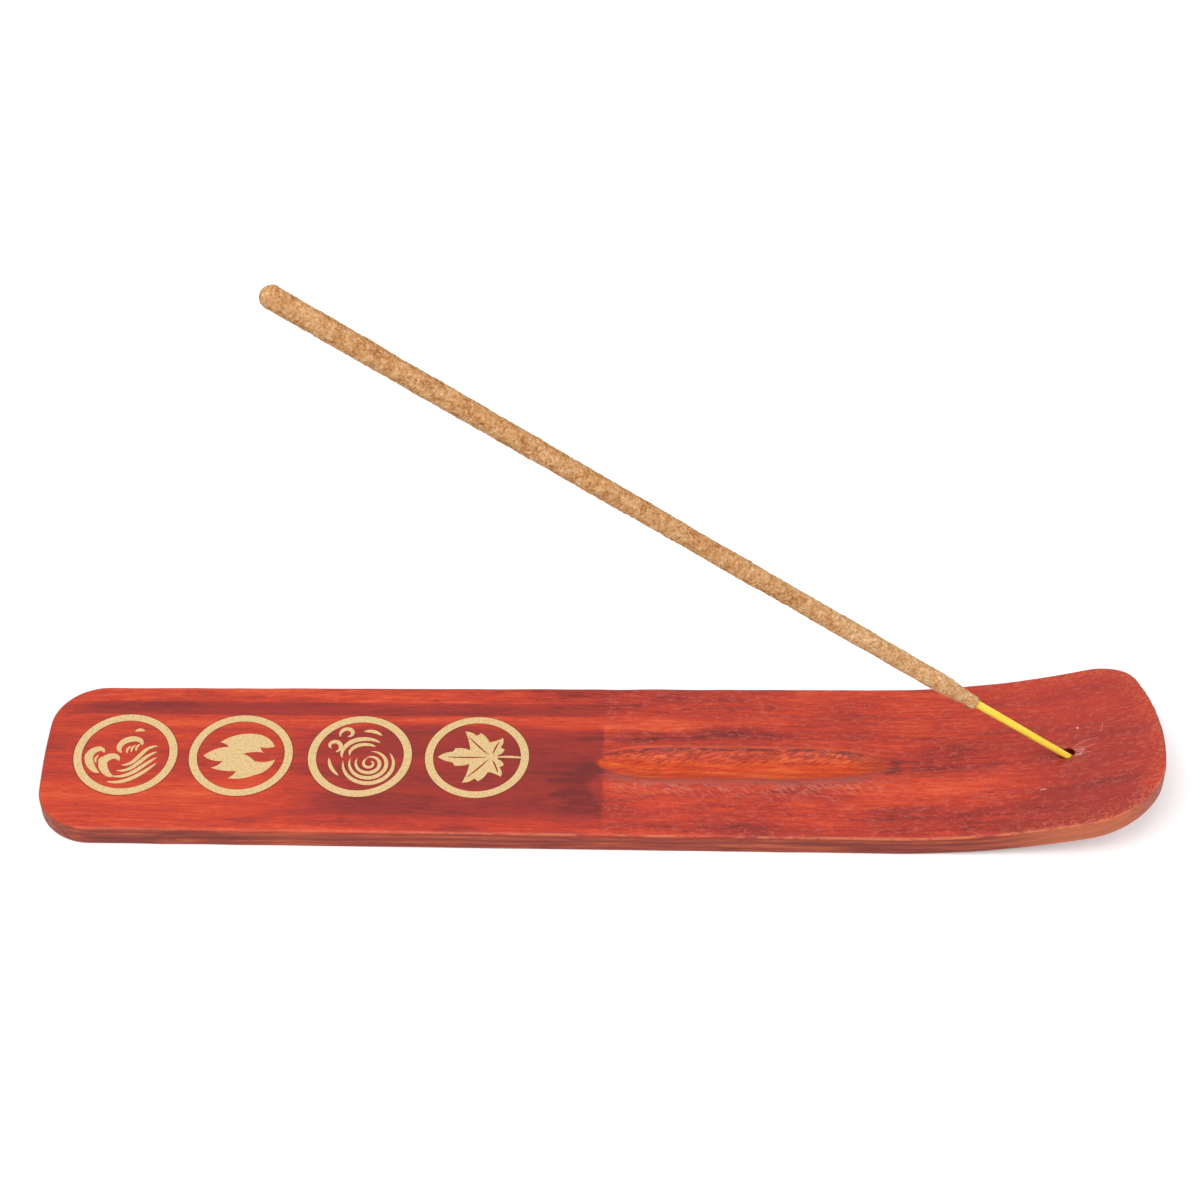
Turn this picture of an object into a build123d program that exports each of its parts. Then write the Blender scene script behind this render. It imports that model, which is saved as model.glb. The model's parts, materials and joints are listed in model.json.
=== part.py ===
from build123d import *
import os
from math import atan2, cos, degrees, pi, radians, sin, sqrt

# An incense burner: a stained wooden holder, bent upwards at one end, with a stick of incense leaning
# out of its slanted hole over the ash trough. Millimetres. +X runs to the raised end, +Y away from the
# side that carries the emblems the right way up, +Z up. The origin is under the middle of the board,
# on the surface it rests on.

# Holder board
BOARD_LENGTH = 250.0
BOARD_WIDTH = 42.66
WIDTH_TAPER = 0.034
BOARD_THICKNESS = 5.4
BEND_START_X = 64.0
BEND_RADIUS = 156.0
BEND_ANGLE = 26.0
FLAT_END_CROWN = 1.2
RAISED_END_RADIUS = 50.0
RAISED_END_PEAK_Y = -4.0
FLAT_END_CORNER = 11.0
RAISED_FRONT_CORNER = 12.0
RAISED_BACK_CORNER = 6.0
TOP_ARRIS = 0.8
BOTTOM_ARRIS = 0.5

# Ash trough, cut by a round-nosed cutter whose axis runs along the board
TROUGH_START_X = -1.0
TROUGH_END_X = 67.5
TROUGH_Y = -0.8
TROUGH_DEPTH = 1.8
TROUGH_WIDTH = 9.4
TROUGH_RUN_IN = 15.0
TROUGH_RUN_OUT = 25.0

# Stick hole, drilled along the lean of the stick
HOLE_X = 104.1
HOLE_Y = -1.3
HOLE_RADIUS = 1.4
HOLE_DEPTH = 4.2
LEAN = 39.45

# Incense stick
STICK_Y = -1.85
FLOOR_GAP = 0.05
CORE_FOOT_RADIUS = 0.78
CORE_RADIUS = 0.96
PASTE_START = 27.9
STICK_END = 214.7
PASTE_RADIUS = 2.15
TIP_RADIUS = 2.5
PASTE_FOOT_RADIUS = 1.5
PASTE_SHOULDER = 10.0
CORE_END_COVER = 3.0

# Printed emblems
EMBLEM_X = {"wave": -106.5, "flame": -80.4, "wind": -53.5, "leaf": -27.1}
EMBLEM_Y = 0.6
RING_RADIUS = 11.7
RING_WIDTH = 1.8
INK_THICKNESS = 0.08


def top_z(x):
    """Height of the board's top surface at a place along it."""
    run = max(0.0, x - BEND_START_X)
    radius = BEND_RADIUS - BOARD_THICKNESS
    return BEND_RADIUS - sqrt(radius**2 - run**2)


def half_width(x):
    """Half the board's width at a place along it."""
    return BOARD_WIDTH / 2 * (1 + WIDTH_TAPER * x / (BOARD_LENGTH / 2))


# ---------------------------------------------------------------- holder board

def raised_corner(side):
    """Where the raised end's arc meets the board's back edge (side 1) or front edge (side -1)."""
    half = half_width(BOARD_LENGTH / 2)
    run = sqrt(RAISED_END_RADIUS**2 - (side * half - RAISED_END_PEAK_Y) ** 2)
    return (BOARD_LENGTH / 2 - RAISED_END_RADIUS + run, side * half)


def board_outline():
    """The board seen from above: slightly tapered, with crowned ends and rounded corners."""
    end = BOARD_LENGTH / 2
    flat_x = -end + FLAT_END_CROWN
    flat_half = half_width(-end)
    flat_back = (flat_x, flat_half)
    flat_front = (flat_x, -flat_half)
    raised_back = raised_corner(1)
    raised_front = raised_corner(-1)
    outline = make_face([
        ThreePointArc(flat_back, (-end, 0), flat_front),
        Line(flat_front, raised_front),
        ThreePointArc(raised_front, (end, RAISED_END_PEAK_Y), raised_back),
        Line(raised_back, flat_back),
    ])
    corners = outline.vertices().sort_by(Axis.X)
    raised_front_corner, raised_back_corner = corners[2:].sort_by(Axis.Y)
    outline = fillet(corners[:2], FLAT_END_CORNER)
    outline = fillet(nearest_vertex(outline, raised_front_corner), RAISED_FRONT_CORNER)
    return fillet(nearest_vertex(outline, raised_back_corner), RAISED_BACK_CORNER)


def nearest_vertex(shape, target):
    """The vertex of a shape that lies where another vertex lay."""
    place = Vector(target.X, target.Y, target.Z)
    return min(shape.vertices(), key=lambda v: (Vector(v.X, v.Y, v.Z) - place).length)


def board_profile():
    """The board seen from the front: flat, then bent upwards on a circular arc."""
    start_x = -BOARD_LENGTH / 2 - 1
    under = Line((start_x, 0), (BEND_START_X, 0))
    under_bend = JernArc(under @ 1, (1, 0), BEND_RADIUS, BEND_ANGLE)
    top = Line((start_x, BOARD_THICKNESS), (BEND_START_X, BOARD_THICKNESS))
    top_bend = JernArc(top @ 1, (1, 0), BEND_RADIUS - BOARD_THICKNESS, BEND_ANGLE)
    tail = Line(under_bend @ 1, top_bend @ 1)
    head = Line(top @ 0, under @ 0)
    return make_face([under, under_bend, tail, top_bend, top, head])


def rim_edges(board, upper):
    """The edges round the board's top or underside, without those at its corners and bends."""
    chosen = []
    for edge in board.edges().filter_by(Axis.Z, reverse=True):
        middle = edge @ 0.5
        across = abs(middle.Y) < 1 and abs(middle.X) < BOARD_LENGTH / 2 - 5
        over = middle.Z > top_z(middle.X) - BOARD_THICKNESS / 2
        if not across and over == upper:
            chosen.append(edge)
    return chosen


def trough_cutter():
    """The swept shape of the cutter: it runs in, goes along at full depth and runs out.

    Both end arcs go on a little past the board's surface, so that the cut is clean there.
    """
    half = TROUGH_WIDTH / 2
    axis_height = (half**2 - TROUGH_DEPTH**2) / (2 * TROUGH_DEPTH)
    radius = axis_height + TROUGH_DEPTH
    run_in = (TROUGH_RUN_IN**2 + TROUGH_DEPTH**2) / (2 * TROUGH_DEPTH)
    run_out = (TROUGH_RUN_OUT**2 + TROUGH_DEPTH**2) / (2 * TROUGH_DEPTH)
    overrun = 1.15
    deep = Line((TROUGH_START_X + TROUGH_RUN_IN, -radius), (TROUGH_END_X - TROUGH_RUN_OUT, -radius))
    rise_in = JernArc(deep @ 0, (-1, 0), run_in, -degrees(overrun * TROUGH_RUN_IN / run_in))
    rise_out = JernArc(deep @ 1, (1, 0), run_out, degrees(overrun * TROUGH_RUN_OUT / run_out))
    section = make_face([
        deep,
        rise_in,
        Line(rise_in @ 1, ((rise_in @ 1).X, 0)),
        Line(((rise_in @ 1).X, 0), ((rise_out @ 1).X, 0)),
        Line(((rise_out @ 1).X, 0), rise_out @ 1),
        rise_out,
    ])
    cutter = revolve(section, Axis.X)
    return Pos(0, TROUGH_Y, BOARD_THICKNESS + axis_height) * cutter


def along_stick(side_y, distance):
    """The plane square to the stick at a distance from the mouth of its hole, facing up the stick."""
    mouth = Vector(HOLE_X, side_y, top_z(HOLE_X))
    up_stick = Vector(-cos(radians(LEAN)), 0, sin(radians(LEAN)))
    return Plane(origin=mouth + up_stick * distance, z_dir=up_stick)


def stick_hole():
    """The drill's cylinder, from the floor of the blind hole to clear air above its mouth."""
    length = HOLE_DEPTH + 8
    drill = Cylinder(HOLE_RADIUS, length, align=(Align.CENTER, Align.CENTER, Align.MIN))
    return along_stick(HOLE_Y, -HOLE_DEPTH) * drill


def holder_board():
    reach = 40
    blank = extrude(board_outline(), reach)
    bent = extrude(Plane.XZ * board_profile(), reach, both=True)
    board = blank & bent
    board = fillet(rim_edges(board, True), TOP_ARRIS)
    board = fillet(rim_edges(board, False), BOTTOM_ARRIS)
    return board - trough_cutter() - stick_hole()


# --------------------------------------------------------------- incense stick

def bamboo_core():
    """The split of bamboo: its foot stands in the hole, and it runs up inside the paste."""
    foot = FLOOR_GAP - HOLE_DEPTH
    end = STICK_END - CORE_END_COVER
    side = [(CORE_FOOT_RADIUS, foot), (CORE_RADIUS, PASTE_START), (CORE_RADIUS, end)]
    outline = Polyline((0, foot), *side, (0, end), close=True)
    return along_stick(STICK_Y, 0) * revolve(Plane.XZ * make_face(outline), Axis.Z)


def incense_paste(core):
    """The rolled coat: a blunt foot, a long shoulder, an even shaft and a round tip."""
    shoulder = PASTE_START + PASTE_SHOULDER
    tip_start = STICK_END - TIP_RADIUS
    outline = make_face([
        Line((0, PASTE_START), (PASTE_FOOT_RADIUS, PASTE_START)),
        Line((PASTE_FOOT_RADIUS, PASTE_START), (PASTE_RADIUS, shoulder)),
        Line((PASTE_RADIUS, shoulder), (TIP_RADIUS, tip_start)),
        RadiusArc((TIP_RADIUS, tip_start), (0, STICK_END), -TIP_RADIUS),
        Line((0, STICK_END), (0, PASTE_START)),
    ])
    return along_stick(STICK_Y, 0) * revolve(Plane.XZ * outline, Axis.Z) - core


# ------------------------------------------------------------- printed emblems
# Each motif is drawn in millimetres about the centre of its ring.

def brush(points, half, blunt=0.0):
    """A stroke along a smooth line: it swells to its half width and closes at both ends.

    blunt is the share of the half width that it already has at its first point.
    """
    steps = 12
    line = Spline(*points)
    left = []
    right = []
    for step in range(steps + 1):
        share = step / steps
        swell = sin(pi * share) ** 0.55
        if share < 0.5:
            swell = max(swell, blunt)
        reach = half * swell
        heading = line % share
        side = Vector(-heading.Y, heading.X).normalized() * reach
        left.append(line @ share + side)
        right.append(line @ share - side)
    edges = [Spline(*left), Spline(*right)]
    if blunt > 0:
        edges.append(Line(left[0], right[0]))
    return make_face(edges)


def bowed_outline(corners):
    """A closed outline of arcs: each corner gives its place and how far the next side bows outwards."""
    sides = []
    for index, (x, y, bow) in enumerate(corners):
        next_x, next_y, _ = corners[(index + 1) % len(corners)]
        length = sqrt((next_x - x) ** 2 + (next_y - y) ** 2)
        middle_x = (x + next_x) / 2 + bow * (next_y - y) / length
        middle_y = (y + next_y) / 2 - bow * (next_x - x) / length
        sides.append(ThreePointArc((x, y), (middle_x, middle_y), (next_x, next_y)))
    return make_face(sides)


def curl(centre, start_radius, start_angle, turn, shrink):
    """Points of a spiral that tightens round its centre. Angles in degrees, positive anticlockwise."""
    steps = 8
    points = []
    for step in range(steps + 1):
        share = step / steps
        angle = radians(start_angle + turn * share)
        radius = start_radius * (1 - shrink * share)
        points.append((centre[0] + radius * cos(angle), centre[1] + radius * sin(angle)))
    return points


def wave_motif():
    """Swell lines that rise to the right, under three crests that curl over, with a drop of spray."""
    pieces = []
    for rank in range(4):
        lift = 1.6 * rank
        pieces.append(brush([
            (-3.3 + 0.9 * rank, -7.9 + lift), (0.8 + 0.1 * rank, -7.6 + lift),
            (4.3 - 0.4 * rank, -5.4 + lift), (7.4 - 0.1 * rank, -2.4 + lift),
        ], 0.48))
    pieces.append(brush([(-1.9, -6.4), (-4.3, -4.4), (-4.5, -1.6), (-2.4, -0.6), (-1.3, -2.0)], 1.0))
    pieces.append(brush([(-5.2, -5.4), (-7.7, -2.8), (-7.8, 0.4), (-5.9, 1.5), (-4.9, 0.3)], 0.95))
    pieces.append(brush([(-0.9, 0.4), (-1.6, 2.5), (0.3, 4.3), (2.9, 4.0), (3.4, 2.6)], 0.8))
    for rank in range(3):
        inner_x = 0.3 + 1.0 * rank
        inner_y = 0.3 + 0.3 * rank
        finger = [(inner_x, inner_y), (inner_x, inner_y + 1.2), (inner_x + 0.7, inner_y + 2.1)]
        pieces.append(brush(finger, 0.27))
    for rank in range(2):
        outer_x = -6.3 + 0.95 * rank
        outer_y = -2.6 - 0.5 * rank
        finger = [(outer_x, outer_y), (outer_x - 0.3, outer_y + 1.3), (outer_x + 0.3, outer_y + 2.3)]
        pieces.append(brush(finger, 0.25))
    pieces.append(brush([(1.4, 6.7), (2.4, 7.15), (3.5, 6.9)], 0.42))
    return pieces


def flame_motif():
    """A flame blown to the left, with short licks that turn back at its heel."""
    return [bowed_outline([
        (-8.4, -0.2, 0.6), (-3.9, -1.7, -0.35), (-6.4, -3.7, 0.35), (-0.6, -4.6, -0.2), (-2.2, -6.7, 0.5),
        (3.6, -5.7, 0.9), (7.8, -1.2, -0.5), (3.2, -1.7, 0.25), (0.4, 0.4, -0.35), (5.2, 0.8, -0.3),
        (4.4, 2.4, 0.3), (7.4, 2.6, 0.9), (2.6, 6.2, 0.9), (-5.0, 3.7, -0.25), (-2.9, 2.4, 0.6),
    ])]


def wind_motif():
    """A gust that rolls up into a spiral, with two lines that lead into it and small curls ahead of it."""
    heart = (2.3, -2.1)
    pieces = [
        brush(curl(heart, 6.0, 172, 225, 0.12), 0.52),
        brush(curl(heart, 4.6, 160, 290, 0.25), 0.5),
        brush(curl(heart, 3.2, 150, 330, 0.45), 0.46),
        brush(curl(heart, 1.55, 110, 330, 0.6), 0.36),
        brush([(-3.9, -0.6), (-3.9, 2.0), (-1.9, 4.3), (1.2, 5.0), (4.4, 3.9)], 0.6),
        brush([(-2.3, 0.1), (-2.1, 1.8), (-0.6, 3.1), (1.4, 3.4), (3.4, 2.8)], 0.48),
        brush(curl((-6.1, 2.9), 1.8, -70, 310, 0.6), 0.5, 0.4),
        brush(curl((-3.2, 6.5), 1.8, 205, -300, 0.6), 0.5, 0.4),
        brush([(0.4, 7.2), (2.6, 7.2), (4.6, 6.0)], 0.45),
        brush([(-6.9, -0.6), (-6.2, -3.4), (-4.4, -5.6)], 0.42),
    ]
    return pieces


def leaf_motif():
    """A five-lobed leaf that points to the left, with bare veins and a stem that runs to the ring."""
    joint_x = 3.2
    half = [
        (-8.8, 0.0, 0.3), (-5.6, 1.5, -0.1), (-5.0, 2.5, 0.25), (-1.6, 2.0, -0.2), (-3.0, 7.4, 0.35),
        (-0.4, 6.2, -0.1), (0.5, 7.0, 0.3), (2.6, 4.3, -0.2), (5.6, 5.6, 0.35), (5.2, 3.0, -0.1),
        (6.1, 2.3, 0.35), (4.6, 0.6, 0.1),
    ]
    bows = [bow for _, _, bow in half]
    upper = [(x, y, -bow) for x, y, bow in half]
    lower = [(x, -y, -bow) for (x, y, _), bow in zip(half[:0:-1], bows[-2::-1])]
    leaf = bowed_outline(upper + lower)
    for tip in ((-7.0, 0.0), (-2.2, 6.0), (-2.2, -6.0), (4.9, 4.6), (4.9, -4.6)):
        reach = sqrt((tip[0] - joint_x) ** 2 + tip[1] ** 2)
        heading = degrees(atan2(tip[1], tip[0] - joint_x))
        vein = brush([(0.8, 0), (reach / 2, 0.12), (reach, 0)], 0.2)
        leaf -= Pos(joint_x, 0) * Rot(0, 0, heading) * vein
    stem = brush([(4.0, 0), (6.8, 0.15), (RING_RADIUS - RING_WIDTH / 2, -0.2)], 0.3, 0.6)
    return [leaf, stem]


def emblem(name, motif):
    """A ring of ink with its motif, printed on the flat part of the board."""
    ring = Circle(RING_RADIUS) - Circle(RING_RADIUS - RING_WIDTH)
    ink = extrude(Sketch() + [ring] + motif, INK_THICKNESS)
    return Pos(EMBLEM_X[name], EMBLEM_Y, BOARD_THICKNESS) * ink


# ----------------------------------------------------------------------- parts

core = bamboo_core()
nodes = {
    "holder_board": holder_board(),
    "bamboo_core": core,
    "incense_paste": incense_paste(core),
    "emblem_wave": emblem("wave", wave_motif()),
    "emblem_flame": emblem("flame", flame_motif()),
    "emblem_wind": emblem("wind", wind_motif()),
    "emblem_leaf": emblem("leaf", leaf_motif()),
}
os.makedirs("parts", exist_ok=True)
for name, shape in nodes.items():
    export_step(shape, "parts/" + name + ".step")
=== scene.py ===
import json
import math
from types import SimpleNamespace
import bmesh
import bpy
import numpy as np
from mathutils import Matrix, Vector, noise


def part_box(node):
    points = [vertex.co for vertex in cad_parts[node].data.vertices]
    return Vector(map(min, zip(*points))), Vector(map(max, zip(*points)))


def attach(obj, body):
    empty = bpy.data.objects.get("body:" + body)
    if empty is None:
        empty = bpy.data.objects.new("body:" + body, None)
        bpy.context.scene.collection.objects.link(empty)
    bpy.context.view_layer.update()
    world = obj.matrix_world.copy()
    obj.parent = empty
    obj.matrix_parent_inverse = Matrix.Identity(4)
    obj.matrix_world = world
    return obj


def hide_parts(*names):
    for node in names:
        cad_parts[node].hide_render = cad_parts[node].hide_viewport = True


# An incense burner: a red-stained wooden holder with printed emblems and a leaning stick of incense.
# Lengths are in millimetres until MM turns them into Blender's metres.

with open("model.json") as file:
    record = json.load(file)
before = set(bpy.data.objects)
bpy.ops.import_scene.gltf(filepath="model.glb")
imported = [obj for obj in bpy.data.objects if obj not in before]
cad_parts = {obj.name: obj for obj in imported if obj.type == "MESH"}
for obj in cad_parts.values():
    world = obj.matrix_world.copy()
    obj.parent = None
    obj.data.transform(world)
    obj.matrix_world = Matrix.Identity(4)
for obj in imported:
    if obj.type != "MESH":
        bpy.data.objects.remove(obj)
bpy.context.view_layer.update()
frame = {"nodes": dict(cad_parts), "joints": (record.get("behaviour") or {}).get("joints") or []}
MM = 0.001

# Camera: where it stands and how it is turned
CAMERA_PLACE = (17.6, -426.8, 527.6)
CAMERA_YAW = -2.18
CAMERA_PITCH = 47.66
CAMERA_ROLL = -1.22
LENS = 90.0

# Light: what the surroundings give the object, the lamps' watts, and the floor's own glow near and far
SKY_STRENGTH = 0.39
KEY_POWER = 7.1
FILL_POWER = 2.4
FLOOR_GLOW = 0.3
FAR_GLOW = 0.75

# Board, as in the CAD model
END_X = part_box("holder_board")[1][0] / MM
HALF_WIDTH = 21.33
WIDTH_TAPER = 0.034
THICKNESS = 5.4
BEND_START_X = 64.0
BEND_RADIUS = 156.0
FLAT_END_CROWN = 1.2
RAISED_END_RADIUS = 50.0
RAISED_END_PEAK_Y = -4.0
FLAT_END_CORNER = 11.0
RAISED_FRONT_CORNER = 12.0
RAISED_BACK_CORNER = 6.0
TOP_ARRIS = 0.65
BOTTOM_ARRIS = 0.5
EDGE_WAVE = 0.08
ARRIS_WAVE = 0.3

# Ash trough, as in the CAD model
TROUGH_START_X = -1.0
TROUGH_END_X = 67.5
TROUGH_Y = -0.8
TROUGH_DEPTH = 1.8
TROUGH_HALF_WIDTH = 4.7
TROUGH_RUN_IN = 15.0
TROUGH_RUN_OUT = 25.0
TROUGH_RIM = 0.3
TROUGH_WAVE = 0.15

# Inner radius of the printed rings, as in the CAD model
RING_WALL = 9.9

# Stick hole and stick, as in the CAD model: distances run up the stick from its foot
HOLE_RADIUS = 1.4
HOLE_RIM = 0.1
HOLE_SIDESTEP = 0.55
FLOOR_GAP = 0.05
FOOT_RADIUS = 0.78
CORE_RADIUS = 0.96
CORE_LENGTH = 215.85
PASTE_START = 32.05
PASTE_END = 218.85
PASTE_FOOT_RADIUS = 1.5
PASTE_RADIUS = 2.15
TIP_RADIUS = 2.5
PASTE_SHOULDER = 10.0

# Mesh steps, and how far round the hole the board's mesh is made finer
BOARD_STEP = 0.5
PASTE_STEP = 0.22
HOLE_SURROUNDINGS = 2.6
HOLE_CUTS = 3

# How far in from the outline a side's finish may reach
SIDE_REACH = 3.0

# Areas of the board's finish, in millimetres along and across it, with one patch of painted shadow behind
# the trough.
# Each area has where it starts and ends along, how softly it does each, and the same across. A patch also
# has its change of tone.
STRAIGHT_PATCHES = (
    ((-119, 8), (6, 8), (12.6, 16.4), (0.25, 0.25), -0.24),
    ((-64, 1.3), (12, 0.5), (-17.5, 9.5), (3, 1.5), -0.22),
    ((63.5, 68), (1.5, 1.5), (-3.4, 0.6), (1, 1), -0.3),
)
WANDERING_PATCHES = (
    ((-130, -20), (5, 20), (16.6, 24), (0.8, 0.8), 0.16),
    ((-20, 130), (20, 5), (16.6, 24), (0.8, 0.8), 0.04),
    ((-118, -20), (10, 20), (9.4, 12.2), (0.8, 0.8), 0.16),
    ((-20, 34), (20, 12), (9.4, 12.2), (0.8, 0.8), 0.12),
    ((-128, -62), (9, 14), (-24, -8), (2.5, 2.5), 0.2),
    ((-128, -70), (4, 8), (-9, 9), (3, 3), 0.07),
    ((-66, 0), (12, 3), (-24, -16.5), (1.5, 1), 0.12),
    ((0, 60), (4, 12), (-24, -12), (1.5, 2), -0.07),
    ((-9, 0), (2, 1), (-15, 0), (3, 3), -0.16),
    # Painted shadow: a darker patch on the top just behind the trough's left part
    ((2, 42), (4, 8), (5.2, 9.4), (1, 1), -0.3),
    ((64, 88), (5, 5), (-3, 3), (2, 2), -0.16),
    ((56, 92), (8, 8), (-13, -5), (2, 2), 0.11),
    ((68, 92), (6, 6), (5, 12), (2.5, 2.5), 0.13),
    ((96, 122), (5, 5), (-13, 6), (4, 4), -0.1),
    ((86, 124), (8, 4), (-24, -9), (2, 4), -0.24),
    ((60, 88), (6, 6), (-24, -13), (2, 1.5), -0.16),
)
# Where the grain shows less: under the emblems, in the straight dark band and on the raised end
CALM_PATCHES = (
    ((-62, 1.3), (14, 0.5), (-17, 10), (4, 2), -0.6),
    ((-119, 4), (6, 8), (12.6, 16.4), (0.4, 0.4), -0.55),
    ((94, 130), (10, 1), (-24, 24), (2, 2), -0.35),
    ((-126, -66), (6, 12), (-17, 9), (3, 3), -0.3),
)
FLECK_ROW = ((-46, 42), (10, 10), (13.0, 20.6), (1.2, 0.8))
TROUGH_TIP = ((-0.4, 6), (1.0, 2), (-1.2, 0.8), (0.8, 0.8))
SPLINTER_TUFT = ((108.2, 110.4), (0.3, 0.6), (-2.5, -0.6), (0.3, 0.3))
POLISHED_SPOT = ((101, 110), (3, 3), (-9, -2), (2, 1))

# Specks of lint: each one's middle and half its size
LINT = (((109.4, 5.3), (0.2, 0.22)), ((100.2, -10.5), (0.65, 0.08)))
LINT_SOFT = (0.08, 0.08)

# Fine curved scratches beside the hole: each arc's centre, its radius, and where it shows along and across
SCRATCHES = (
    ((113.0, -7.5), 9.0, (107.8, 113.6), (-0.4, 1.8)),
    ((110.5, -10.0), 8.05, (108.4, 111.9), (-2.5, -1.4)),
    ((111.0, 5.5), 5.9, (108.8, 113.1), (-0.8, 0.4)),
    ((111.5, 5.4), 3.7, (113.5, 115.6), (3.2, 5.9)),
)

# How far the grain and the patches' edges wander, and the slant of the marks in and before the trough
GRAIN_SWAY = 9.0
PATCH_SWAY_ALONG = 30.0
PATCH_SWAY_ACROSS = 7.0
TOOL_ANGLE = -0.35
SCUFF_ANGLE = 0.65

# Colours as they look on screen, 0 to 255, with the noise value that each one of a ramp belongs to
STAIN_RAMP = (
    (0.05, (112, 32, 30)), (0.25, (148, 45, 38)), (0.45, (176, 54, 40)),
    (0.62, (196, 62, 39)), (0.8, (212, 74, 42)), (1.0, (224, 96, 58)),
)
BARE_RAMP = ((0.3, (176, 48, 20)), (0.45, (206, 68, 26)), (0.56, (220, 86, 36)), (0.7, (230, 116, 62)))
SIDE_RAMP = ((0.32, (114, 43, 35)), (0.46, (150, 57, 42)), (0.57, (180, 76, 48)), (0.7, (210, 106, 62)))
INK_RAMP = ((0.3, (192, 142, 82)), (0.45, (222, 186, 128)), (0.6, (232, 202, 148)), (0.75, (240, 216, 172)))
PASTE_RAMP = (
    (0.42, (118, 70, 34)), (0.51, (178, 122, 72)), (0.6, (210, 154, 100)),
    (0.69, (230, 182, 132)), (0.78, (252, 222, 184)),
)
BAMBOO_RAMP = ((0.3, (240, 184, 30)), (0.5, (255, 226, 62)), (0.7, (255, 240, 120)))
RAISED_END_RED = (166, 56, 50)
TICK_RED = (100, 28, 26)
FLECK_BROWN = (78, 30, 32)
RING_EDGE_BROWN = (112, 38, 26)
SCUFF_PINK = (206, 106, 86)
STROKE_PINK = (206, 124, 106)
TOOL_MARK_RED = (146, 34, 14)
TROUGH_END_RED = (142, 42, 26)
RIM_PIT_BROWN = (112, 24, 12)
RIM_LINE_BROWN = (78, 16, 8)
RIM_CREST_ORANGE = (220, 92, 56)
# Painted shade: the mauve-grey of the trough's front lip, where its near wall lies in shade
FRONT_LIP_PAINTED_SHADE = (162, 82, 74)
PALE_SIDE_ORANGE = (222, 122, 80)
RUBBED_ARRIS_ORANGE = (220, 122, 78)
CRUMB_ORANGE = (218, 104, 70)
SCRATCH_PALE = (216, 150, 130)
SPLINTER_PALE = (214, 156, 134)
LINT_PALE = (236, 206, 196)
# Painted shade: the dark red given to the stick hole's wall
HOLE_PAINTED_SHADE_RED = (124, 32, 20)
INK_PINHOLE_BROWN = (184, 110, 70)
# Painted shade: the darker orange of the bamboo's underside
BAMBOO_PAINTED_SHADE_ORANGE = (236, 150, 24)


def stick_axis():
    """The point at the middle of the stick's foot and the direction up the stick, in millimetres."""
    up = np.array(frame["joints"][0]["axis"], float)
    up /= np.linalg.norm(up)
    low, high = (np.array(corner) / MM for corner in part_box("bamboo_core"))
    foot_x = high[0] - FOOT_RADIUS * abs(up[2])
    foot_z = low[2] + FOOT_RADIUS * abs(up[0])
    return np.array([foot_x, (low[1] + high[1]) / 2, foot_z]), up


STICK_FOOT, STICK_UP = stick_axis()


# ------------------------------------------------------------------------ stage

def place_camera():
    """A camera that looks down on the board from the front."""
    yaw, pitch, roll = (math.radians(angle) for angle in (CAMERA_YAW, CAMERA_PITCH, CAMERA_ROLL))
    ahead = Vector((math.sin(yaw) * math.cos(pitch), math.cos(yaw) * math.cos(pitch), -math.sin(pitch)))
    level = Vector((math.cos(yaw), -math.sin(yaw), 0))
    upright = level.cross(ahead)
    right = level * math.cos(roll) + upright * math.sin(roll)
    up = upright * math.cos(roll) - level * math.sin(roll)
    data = bpy.data.cameras.new("camera")
    data.lens = LENS
    data.sensor_width = 36
    data.clip_start = 0.01
    camera = bpy.data.objects.new("camera", data)
    turn = Matrix((right, up, -ahead)).transposed().to_4x4()
    camera.matrix_world = Matrix.Translation(Vector(CAMERA_PLACE) * MM) @ turn
    bpy.context.scene.collection.objects.link(camera)
    bpy.context.scene.camera = camera


def add_area_light(name, place, target, size, power):
    """A soft square lamp at a place, aimed at a target. Metres and watts."""
    data = bpy.data.lights.new(name, "AREA")
    data.shape = "SQUARE"
    data.size = size
    data.energy = power
    lamp = bpy.data.objects.new(name, data)
    lamp.location = place
    lamp.rotation_euler = (Vector(target) - Vector(place)).to_track_quat("-Z", "Y").to_euler()
    bpy.context.scene.collection.objects.link(lamp)


def light_scene():
    """White surroundings for the camera and for gloss, and softer light from them on the object."""
    world = bpy.data.worlds.new("studio")
    bpy.context.scene.world = world
    world.use_nodes = True
    tree = world.node_tree
    tree.nodes.clear()
    rays = tree.nodes.new("ShaderNodeLightPath")
    seen = add_math(tree, "MAXIMUM", rays.outputs["Is Camera Ray"], rays.outputs["Is Glossy Ray"])
    seen = add_math(tree, "MAXIMUM", seen, rays.outputs["Is Transmission Ray"])
    strength = add_math(tree, "MULTIPLY_ADD", seen, 1 - SKY_STRENGTH, SKY_STRENGTH)
    background = add_node(tree, "ShaderNodeBackground", {"Color": (1, 1, 1, 1), "Strength": strength})
    add_node(tree, "ShaderNodeOutputWorld", {"Surface": background.outputs[0]})
    add_area_light("key", (-0.25, -0.35, 0.95), (0, 0, 0.03), 0.7, KEY_POWER)
    add_area_light("fill", (0.7, -0.2, 0.7), (0, 0, 0.03), 0.6, FILL_POWER)


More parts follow.
